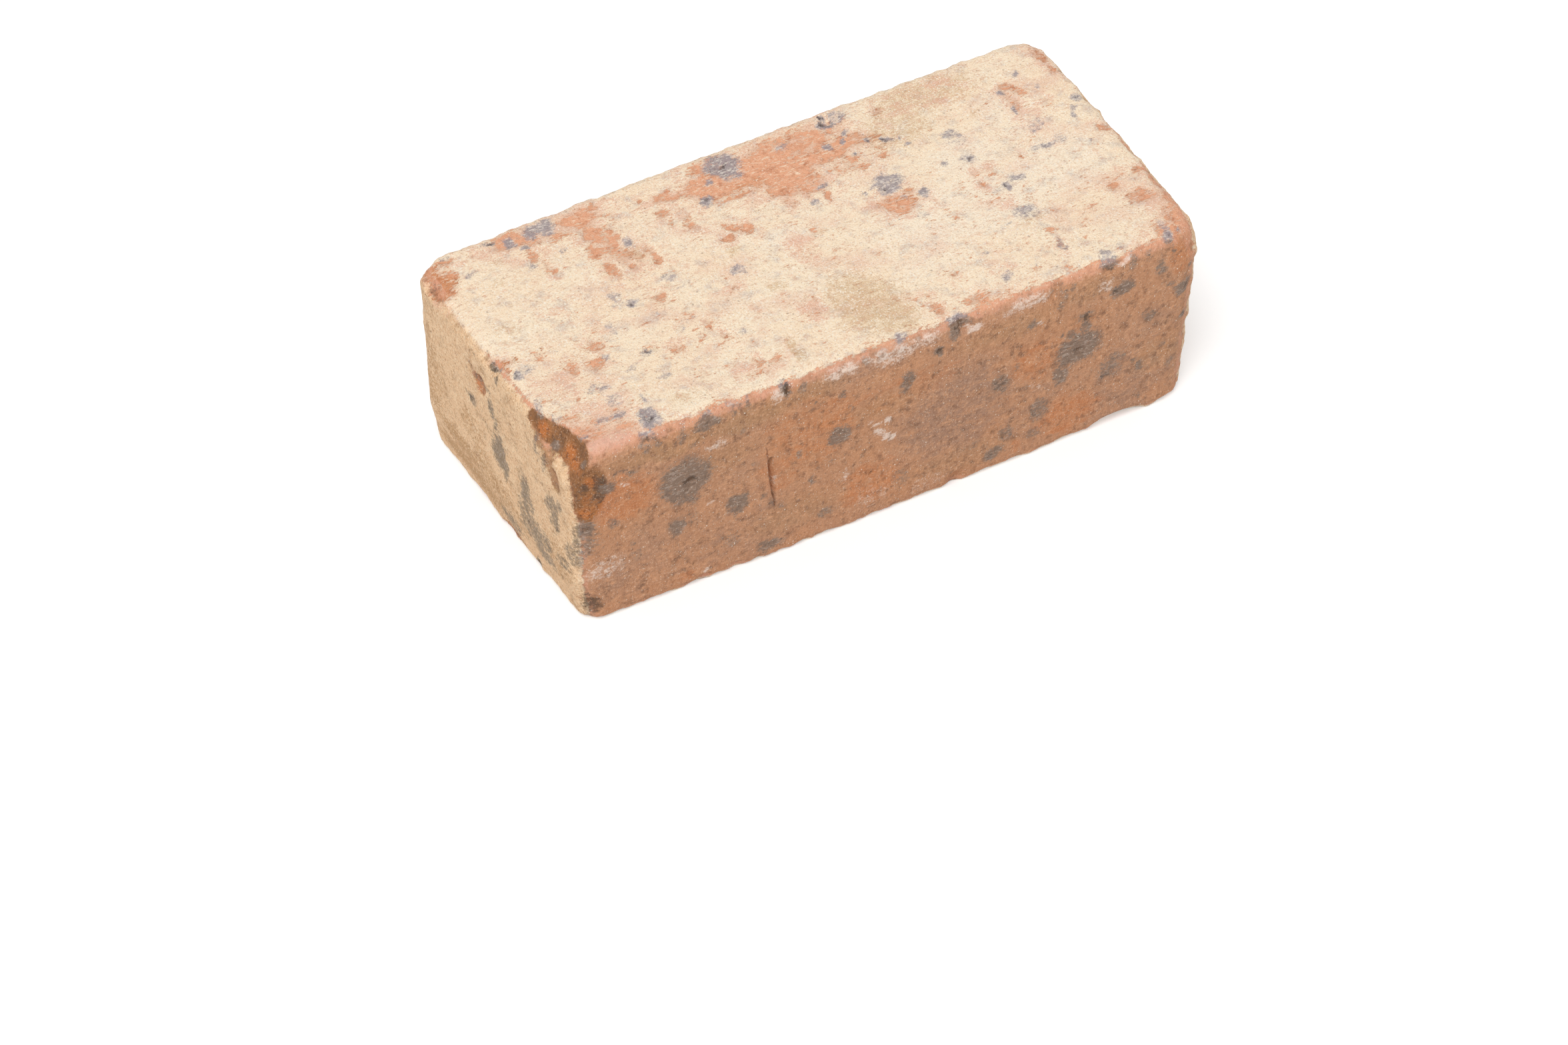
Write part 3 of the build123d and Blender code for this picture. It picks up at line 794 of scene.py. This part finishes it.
# Colours of the slip. From the smudges on, cream slip has the first and buff the second.
CREAM = (srgb(255, 235, 206), srgb(253, 227, 195))
CREAM_HAZE = srgb(240, 200, 174)
BUFF = (srgb(253, 217, 177), srgb(237, 194, 151))
BLOOM = srgb(255, 241, 220)
BLUSH = srgb(234, 180, 154)
SMUDGE = (srgb(198, 184, 176), srgb(176, 140, 104))
STAINED_SLIP = (srgb(212, 178, 134), srgb(190, 146, 100))
WISP = (srgb(234, 190, 162), srgb(202, 158, 116))
TAN_THREAD = (srgb(214, 174, 142), srgb(172, 128, 88))
SLIP_LIGHT = (srgb(255, 250, 238), srgb(255, 236, 206))

# Colours of the iron spots. Flecks and cores have one for the sides and one for the beds.
IRON_IN_CLAY = srgb(136, 114, 98)
IRON_UNDER_CREAM = srgb(162, 150, 152)
IRON_UNDER_BUFF = srgb(136, 116, 92)
IRON_SHADE = (0.6, 0.58, 0.56, 1)
IRON_FLECK = (srgb(188, 168, 154), srgb(242, 232, 220))
IRON_CORE = (srgb(84, 68, 56), srgb(86, 76, 72))

# Colours of what lies on the brick or stands out of it, and of the shade painted in its hollows and
# along its crack
DUST = srgb(248, 226, 210)
# Painted shade for the hollows of the skin
HOLLOW_SHADE = srgb(128, 92, 64)
# Painted shade along the crack
CRACK_PAINTED_SHADE = srgb(134, 86, 60)
# Near white: the quartz grains' own pale colour, with painted glints
QUARTZ_AND_GLINT = srgb(255, 240, 222)
DARK_GRAIN = srgb(122, 92, 74)

# Gloss of clay and of iron spots, and how far the finest grain stands out
SPECULAR = 0.3
ROUGHNESS = (0.9, 0.62)
BUMP_HEIGHT = 0.3


class Nodes:
    """Short ways to build a material's nodes"""

    # What spreads a noise to fill 0 to 1: its gain, and what is added
    NOISE_SPREAD = (2.2, -0.6)

    # A cell's width over its widest grain's, how far that grain reaches in it, and how
    # sharp the grains' edges are
    CELL_WIDTH = 1.5
    GRAIN_REACH = 0.36
    GRAIN_EDGE = 9.0

    def __init__(self, tree):
        self.tree = tree
        self.tree.nodes.clear()

    def add(self, kind, **settings):
        """A new node with those settings"""
        node = self.tree.nodes.new(kind)
        for key, value in settings.items():
            setattr(node, key, value)
        return node

    def feed(self, socket, value):
        """Links another node's output to a socket, or sets the socket to a value"""
        if isinstance(value, bpy.types.NodeSocket):
            self.tree.links.new(value, socket)
        else:
            socket.default_value = value

    def field(self, name):
        """What the mesh stores under that name, 0 to 1"""
        return self.add("ShaderNodeAttribute", attribute_name=name).outputs["Fac"]

    def place(self, shift, stretch=(1, 1, 1)):
        """The object's own space, moved aside so that no two textures match"""
        mapping = self.add("ShaderNodeMapping")
        space = self.add("ShaderNodeTexCoord").outputs["Object"]
        self.feed(mapping.inputs["Vector"], space)
        mapping.inputs["Location"].default_value = (shift, shift, shift)
        mapping.inputs["Scale"].default_value = stretch
        return mapping.outputs["Vector"]

    def axis(self, name):
        """One coordinate of the object's own space, in millimetres"""
        apart = self.add("ShaderNodeSeparateXYZ")
        self.feed(apart.inputs["Vector"], self.add("ShaderNodeTexCoord").outputs["Object"])
        return self.math("DIVIDE", apart.outputs[name], METRE)

    def noise(self, size, detail=2.0, rough=0.5, shift=0.0, stretch=(1, 1, 1)):
        """Noise that changes over `size` millimetres, spread to fill 0 to 1"""
        node = self.add("ShaderNodeTexNoise")
        self.feed(node.inputs["Vector"], self.place(shift, stretch))
        node.inputs["Scale"].default_value = 1 / (size * METRE)
        node.inputs["Detail"].default_value = detail
        node.inputs["Roughness"].default_value = rough
        return self.math("MULTIPLY_ADD", node.outputs["Fac"], *self.NOISE_SPREAD, clamp=True)

    def grains(self, size, share, shift=0.0):
        """Grains of all widths up to `size` millimetres in a share of the cells"""
        node = self.add("ShaderNodeTexVoronoi")
        self.feed(node.inputs["Vector"], self.place(shift))
        node.inputs["Scale"].default_value = 1 / (size * self.CELL_WIDTH * METRE)
        chance = self.add("ShaderNodeSeparateColor")
        self.feed(chance.inputs["Color"], node.outputs["Color"])
        steep = self.GRAIN_REACH / share
        shortfall = self.GRAIN_REACH - steep
        reach = self.math("MULTIPLY_ADD", chance.outputs["Red"], steep, shortfall)
        inside = self.math("SUBTRACT", reach, node.outputs["Distance"])
        return self.math("MULTIPLY", inside, self.GRAIN_EDGE, clamp=True)

    def math(self, operation, first, second=0.0, third=0.0, clamp=False):
        """What comes of an operation on up to three values"""
        node = self.add("ShaderNodeMath", operation=operation, use_clamp=clamp)
        for socket, value in zip(node.inputs, (first, second, third)):
            self.feed(socket, value)
        return node.outputs["Value"]

    def blend(self, *parts):
        """Noises added up by their shares, with their middle kept at a half"""
        total = 0.5 * (1 - sum(share for _, share in parts))
        for noise, share in parts:
            total = self.math("MULTIPLY_ADD", noise, share, total)
        return self.math("ADD", total, 0.0, clamp=True)

    def step(self, value, start, end, low_value=0.0, high_value=1.0):
        """A smooth step from low_value to high_value as value goes from start to end"""
        node = self.add("ShaderNodeMapRange", interpolation_type="SMOOTHSTEP")
        self.feed(node.inputs["Value"], value)
        node.inputs["From Min"].default_value = start
        node.inputs["From Max"].default_value = end
        node.inputs["To Min"].default_value = low_value
        node.inputs["To Max"].default_value = high_value
        return node.outputs["Result"]

    def mix(self, share, under, over, blend="MIX"):
        """One colour under another. A mix node's colour sockets share their names with
        others, so they are taken by number."""
        node = self.add("ShaderNodeMix", data_type="RGBA", blend_type=blend)
        self.feed(node.inputs["Factor"], share)
        self.feed(node.inputs[6], under)
        self.feed(node.inputs[7], over)
        return node.outputs[2]

    def cover(self, under, over, share, level=1.0):
        """Lays a colour over another where share is 1, at most at that level"""
        return self.mix(self.math("MULTIPLY", share, level), under, over)

    def darken(self, under, tone, share, level=1.0):
        """Multiplies a colour by a tone where share is 1, at most at that level"""
        return self.mix(self.math("MULTIPLY", share, level), under, tone, "MULTIPLY")

    def torn(self, field, noise, gain, softness):
        """A field cut to a mark with a torn edge: noise of that gain eats into it"""
        pushed = self.math("MULTIPLY_ADD", noise, gain, self.math("SUBTRACT", field, gain / 2))
        cut = self.step(pushed, 0.5 - softness, 0.5 + softness)
        return self.math("MULTIPLY", cut, self.step(field, 0.0, 0.3))


def clay_colour(n, grain):
    """The bare clay: mottled orange to grey-brown, paler on the beds and worn edges"""
    bed = n.field("bed")
    clay = n.mix(grain["broad"], *CLAY)
    clay = n.cover(clay, BED_CLAY, bed, 0.9)
    # Mauve patches, and painted shade under the front's top arris
    mauve_and_shade = n.torn(n.field("mauve_and_shade"), grain["streak"], 0.9, 0.5)
    clay = n.cover(clay, MAUVE_AND_SHADED_CLAY, mauve_and_shade, 0.9)
    bright = n.torn(n.field("bright"), grain["streak"], 0.9, 0.5)
    clay = n.cover(clay, BRIGHT_CLAY, bright, 0.9)
    clay = n.cover(clay, STAINED_CLAY, n.field("stain"), 0.7)
    dark_mottle = n.step(grain["medium"], 0.5, 1.0, 0.0, 0.85)
    clay = n.mix(dark_mottle, clay, n.mix(bed, *DARK_MOTTLE))
    pale_mottle = n.step(n.mix(bed, grain["wisp"], grain["thread"]), 0.5, 1.0, 0.0, 0.9)
    clay = n.mix(pale_mottle, clay, n.mix(bed, *PALE_MOTTLE))
    flushed = n.math("MULTIPLY", n.step(n.field("blush"), 0.5, 0.9), bed)
    clay = n.cover(clay, FLUSHED_CLAY, flushed, 0.8)
    clay = n.darken(clay, MOULD_SHADE, n.step(grain["upright"], 0.5, 1.0), 0.6)
    clay = n.cover(clay, MOULD_LIGHT, n.step(grain["upright"], 0.5, 0.0), 0.4)
    worn = n.math("MULTIPLY", n.step(n.field("arris"), 0.1, 0.8), grain["medium"])
    clay = n.cover(clay, WORN_CLAY, worn, 0.9)
    clay = n.mix(n.step(n.field("chip"), 0.3, 0.7), clay, break_colour(n, grain))
    clay = n.darken(clay, SAND_SHADE, n.step(grain["fine"], 0.55, 1.0), 0.5)
    clay = n.darken(clay, SAND_SHADE, n.step(grain["grit"], 0.35, 0.0), 0.35)
    return n.cover(clay, SAND_LIGHT, n.step(grain["grit"], 0.6, 1.0), 0.45)


def break_colour(n, grain):
    """The fresh break in the chip: brown, with orange and dark places, and painted shade along its
    right edge
    """
    broken = n.mix(grain["medium"], *BREAK)
    broken = n.cover(broken, BRIGHT_BREAK, n.field("bright"), 0.75)
    # Dark places in the break, and painted shade at the chip's right edge
    dark_and_shade = n.torn(n.field("dark_and_shade"), grain["torn"], 1.2, 0.45)
    broken = n.cover(broken, DARK_AND_SHADED_BREAK, dark_and_shade, 0.85)
    broken = n.cover(broken, BREAK_SPECK, n.step(grain["fine"], 0.45, 1.0), 0.8)
    return n.cover(broken, BREAK_LIGHT, n.step(grain["torn"], 0.6, 1.0), 0.5)


def slip_colour(n, grain):
    """The slip: cream on the beds, buff on the ends, with faint stains and blushes"""
    is_buff = n.field("buff")
    cream = n.mix(grain["broad"], *CREAM)
    cream = n.cover(cream, CREAM_HAZE, n.step(grain["haze"], 0.5, 1.0), 0.7)
    slip = n.mix(is_buff, cream, n.mix(grain["medium"], *BUFF))
    bloom = n.torn(n.field("dust"), grain["thread"], 1.0, 0.5)
    slip = n.cover(slip, BLOOM, bloom, 0.6)
    smudge = n.math("MULTIPLY", n.step(grain["smudge"], 0.5, 1.0), grain["torn"])
    slip = n.cover(slip, n.mix(is_buff, *SMUDGE), smudge)
    stain = n.torn(n.field("stain"), grain["torn"], 1.2, 0.5)
    slip = n.cover(slip, n.mix(is_buff, *STAINED_SLIP), stain, 0.8)
    blush = n.torn(n.field("blush"), grain["streaked"], 1.6, 0.4)
    slip = n.cover(slip, BLUSH, blush, 0.7)
    slip = n.cover(slip, n.mix(is_buff, *WISP), n.step(grain["wisp"], 0.5, 1.0), 0.65)
    tan = n.mix(is_buff, *TAN_THREAD)
    slip = n.cover(slip, tan, n.step(grain["thread"], 0.62, 1.0), 0.75)
    slip = n.cover(slip, tan, n.step(grain["grit"], 0.6, 1.0), 0.7)
    return n.cover(slip, n.mix(is_buff, *SLIP_LIGHT), n.step(grain["grit"], 0.45, 0.0), 0.8)


def crack_shade_line(n):
    """1 on the drying crack, a thin line of painted shade that wavers and dies out at its ends"""
    up = n.math("DIVIDE", n.math("SUBTRACT", n.axis("Z"), CRACK_Z), CRACK_HALF_LONG)
    off = n.math("SUBTRACT", n.axis("X"), CRACK_X)
    off = n.math("MULTIPLY_ADD", up, CRACK_LEAN, off)
    waver = n.math("SUBTRACT", n.noise(3.5, 3, 0.6, 7.9), 0.5)
    off = n.math("ABSOLUTE", n.math("MULTIPLY_ADD", waver, CRACK_WAVER, off))
    half_wide = n.step(up, -1.0, 0.6, *CRACK_HALF_WIDE)
    line = n.step(n.math("DIVIDE", off, half_wide), 1.3, 0.5)
    ends = n.math("MULTIPLY", n.step(up, 1.15, 1.0), n.step(up, -1.45, -0.7))
    return n.math("MULTIPLY", n.math("MULTIPLY", line, ends), n.field("crack"))


def clay_grain(n):
    """The noises that mottle the clay and tear the edges of its marks"""
    grain = {
        "broad": n.noise(14, 2, 0.5, 1.3),
        "haze": n.noise(9, 3, 0.6, 8.3, ALONG_SIDES),
        "smudge": n.noise(5, 3, 0.6, 11.9),
        "medium": n.noise(3.0, 3, 0.6, 2.1),
        "streak": n.noise(3.0, 3, 0.6, 4.3, ALONG_SIDES),
        "wisp": n.noise(1.5, 4, 0.7, 6.7, ALONG_SIDES),
        "fine": n.noise(1.1, 3, 0.65, 3.7),
        "grit": n.noise(0.55, 2, 0.7, 5.1),
        "thread": n.noise(0.8, 3, 0.65, 7.1, ALONG_THREADS),
        "upright": n.noise(1.8, 3, 0.6, 10.3, UP_THE_SIDES),
    }
    grain["torn"] = n.blend((grain["wisp"], 0.7), (grain["fine"], 0.4), (grain["grit"], 0.4))
    grain["streaked"] = n.blend((grain["streak"], 0.6), (grain["thread"], 0.6), (grain["grit"], 0.3))
    return grain


def spots_over(n, grain, colour, slip, iron):
    """Lays iron spots over a colour: brown in bare clay, grey under cream slip and olive
    under buff slip, with dark middles"""
    bed = n.field("bed")
    under_slip = n.mix(n.field("buff"), IRON_UNDER_CREAM, IRON_UNDER_BUFF)
    spot = n.mix(n.math("MAXIMUM", slip, bed), IRON_IN_CLAY, under_slip)
    spot = n.darken(spot, IRON_SHADE, n.step(grain["fine"], 0.5, 1.0), 0.7)
    spot = n.cover(spot, n.mix(bed, *IRON_FLECK), n.step(grain["thread"], 0.5, 0.8), 0.65)
    colour = n.cover(colour, spot, iron, 0.92)
    core = n.torn(n.field("core"), grain["torn"], 1.0, 0.4)
    return n.cover(colour, n.mix(bed, *IRON_CORE), core, 0.85)


def dust_and_shade_over(n, grain, colour):
    """Lays dust on the sides over a colour, then painted shade in the hollows and along the crack"""
    bed = n.field("bed")
    dust = n.torn(n.field("dust"), grain["torn"], 1.4, 0.45)
    colour = n.cover(colour, DUST, n.math("MULTIPLY", dust, n.step(bed, 0, 1, 0.8, 0)))
    # Painted shade: the hollows of the skin are darkened, more on the sides than on the beds
    hollow_shade = n.math("MULTIPLY", n.step(n.field("hollow"), 0.15, 0.9), n.step(bed, 0, 1, 0.45, 0.15))
    colour = n.cover(colour, HOLLOW_SHADE, hollow_shade)
    # Painted shade along the drying crack's line
    return n.cover(colour, CRACK_PAINTED_SHADE, crack_shade_line(n), 0.65)


def quartz_grains(n, grain):
    """1 on the quartz grains, which lie denser in some places than in others"""
    quartz = n.math("MAXIMUM", n.grains(0.5, 0.2, 3.3), n.grains(0.32, 0.35, 6.1))
    return n.math("MULTIPLY", quartz, n.step(grain["smudge"], 0.2, 0.8, 0.25, 1.0))


def bump(n, grain, slip, quartz):
    """The finest grain of the surface, with the slip and the quartz standing out of it"""
    height = n.math("MULTIPLY_ADD", grain["fine"], 0.7, n.math("MULTIPLY", grain["grit"], 0.4))
    height = n.math("MULTIPLY_ADD", slip, 0.25, height)
    height = n.math("MULTIPLY_ADD", quartz, 0.2, height)
    node = n.add("ShaderNodeBump")
    node.inputs["Strength"].default_value = 1.0
    node.inputs["Distance"].default_value = BUMP_HEIGHT * METRE
    n.feed(node.inputs["Height"], height)
    return node.outputs["Normal"]


def fired_clay():
    """Orange-brown fired clay with a cream slip, iron spots, quartz grains with painted glints, dust,
    and painted shade in its hollows, along its crack, in its chip and under its front arris
    """
    material = bpy.data.materials.new("fired_clay")
    material.use_nodes = True
    n = Nodes(material.node_tree)
    grain = clay_grain(n)
    slip = n.torn(n.math("MULTIPLY", n.field("slip"), 1.35), grain["streaked"], 2.2, 0.25)
    iron = n.torn(n.field("iron"), grain["torn"], 1.2, 0.42)
    quartz = quartz_grains(n, grain)

    colour = n.mix(slip, clay_colour(n, grain), slip_colour(n, grain))
    colour = spots_over(n, grain, colour, slip, iron)
    colour = dust_and_shade_over(n, grain, colour)
    # Quartz grains painted near white, their pale colour with painted glints, strongest on the bare
    # clay
    quartz_and_glint_level = n.step(n.math("MAXIMUM", slip, n.field("chip")), 0, 1, 0.9, 0.3)
    colour = n.cover(colour, QUARTZ_AND_GLINT, quartz, quartz_and_glint_level)
    colour = n.cover(colour, DARK_GRAIN, n.grains(0.8, 0.12, 9.7), 0.4)

    shader = n.add("ShaderNodeBsdfPrincipled")
    shader.inputs["Specular IOR Level"].default_value = SPECULAR
    n.feed(shader.inputs["Base Color"], colour)
    n.feed(shader.inputs["Roughness"], n.step(iron, 0, 1, *ROUGHNESS))
    n.feed(shader.inputs["Normal"], bump(n, grain, slip, quartz))
    output = n.add("ShaderNodeOutputMaterial")
    n.feed(output.inputs["Surface"], shader.outputs["BSDF"])
    return material


mesh.materials.append(fired_clay())

# The stage: a pale floor that reads white in the picture, soft light and the camera

FLOOR_SIZE = 6.0
FLOOR_COLOUR = (0.8, 0.8, 0.8, 1)
FLOOR_LIFT = 0.32
WORLD_LIGHT = 0.52
LAMP_LIGHT = 1.75
LAMP_ANGLE = math.radians(30)
LAMP_TURN = (math.radians(20.5), math.radians(-22), 0)

CAMERA_PLACE = (-0.48834, -0.83880, 0.88855)
CAMERA_PITCH = math.radians(45.9774)
CAMERA_TURN = math.radians(-29.6846)
CAMERA_LENS = 100
CAMERA_SENSOR = 36


def seen_by_camera(n):
    """1 for rays that come from the camera, a mirror or glass, 0 for light's own"""
    path = n.add("ShaderNodeLightPath").outputs
    mirrored = n.math("MAXIMUM", path["Is Glossy Ray"], path["Is Transmission Ray"])
    return n.math("MAXIMUM", path["Is Camera Ray"], mirrored)


def floor_paint():
    material = bpy.data.materials.new("stage_floor")
    material.use_nodes = True
    n = Nodes(material.node_tree)
    matt = n.add("ShaderNodeBsdfDiffuse")
    matt.inputs["Color"].default_value = FLOOR_COLOUR
    glow = n.add("ShaderNodeEmission")
    n.feed(glow.inputs["Strength"], n.math("MULTIPLY", seen_by_camera(n), FLOOR_LIFT))
    both = n.add("ShaderNodeAddShader")
    n.feed(both.inputs[0], matt.outputs["BSDF"])
    n.feed(both.inputs[1], glow.outputs["Emission"])
    output = n.add("ShaderNodeOutputMaterial")
    n.feed(output.inputs["Surface"], both.outputs["Shader"])
    return material


def lay_floor():
    half = FLOOR_SIZE / 2
    corners = [(-half, -half, 0), (half, -half, 0), (half, half, 0), (-half, half, 0)]
    sheet = bpy.data.meshes.new("stage_floor")
    sheet.from_pydata(corners, [], [(0, 1, 2, 3)])
    sheet.materials.append(floor_paint())
    floor = bpy.data.objects.new("stage_floor", sheet)
    bpy.context.scene.collection.objects.link(floor)


def light_world():
    world = bpy.data.worlds.new("stage_world")
    world.use_nodes = True
    n = Nodes(world.node_tree)
    seen = seen_by_camera(n)
    background = n.add("ShaderNodeBackground")
    background.inputs["Color"].default_value = (1, 1, 1, 1)
    n.feed(background.inputs["Strength"], n.step(seen, 0, 1, WORLD_LIGHT, 1.0))
    output = n.add("ShaderNodeOutputWorld")
    n.feed(output.inputs["Surface"], background.outputs["Background"])
    bpy.context.scene.world = world


def hang_lamp():
    lamp = bpy.data.lights.new("stage_lamp", "SUN")
    lamp.energy = LAMP_LIGHT
    lamp.angle = LAMP_ANGLE
    holder = bpy.data.objects.new("stage_lamp", lamp)
    holder.rotation_euler = LAMP_TURN
    bpy.context.scene.collection.objects.link(holder)


def place_camera():
    lens = bpy.data.cameras.new("photo_camera")
    lens.lens = CAMERA_LENS
    lens.sensor_width = CAMERA_SENSOR
    camera = bpy.data.objects.new("photo_camera", lens)
    camera.location = CAMERA_PLACE
    camera.rotation_euler = (CAMERA_PITCH, 0, CAMERA_TURN)
    bpy.context.scene.collection.objects.link(camera)
    bpy.context.scene.camera = camera


lay_floor()
light_world()
hang_lamp()
place_camera()
bpy.context.scene.view_settings.view_transform = "Standard"
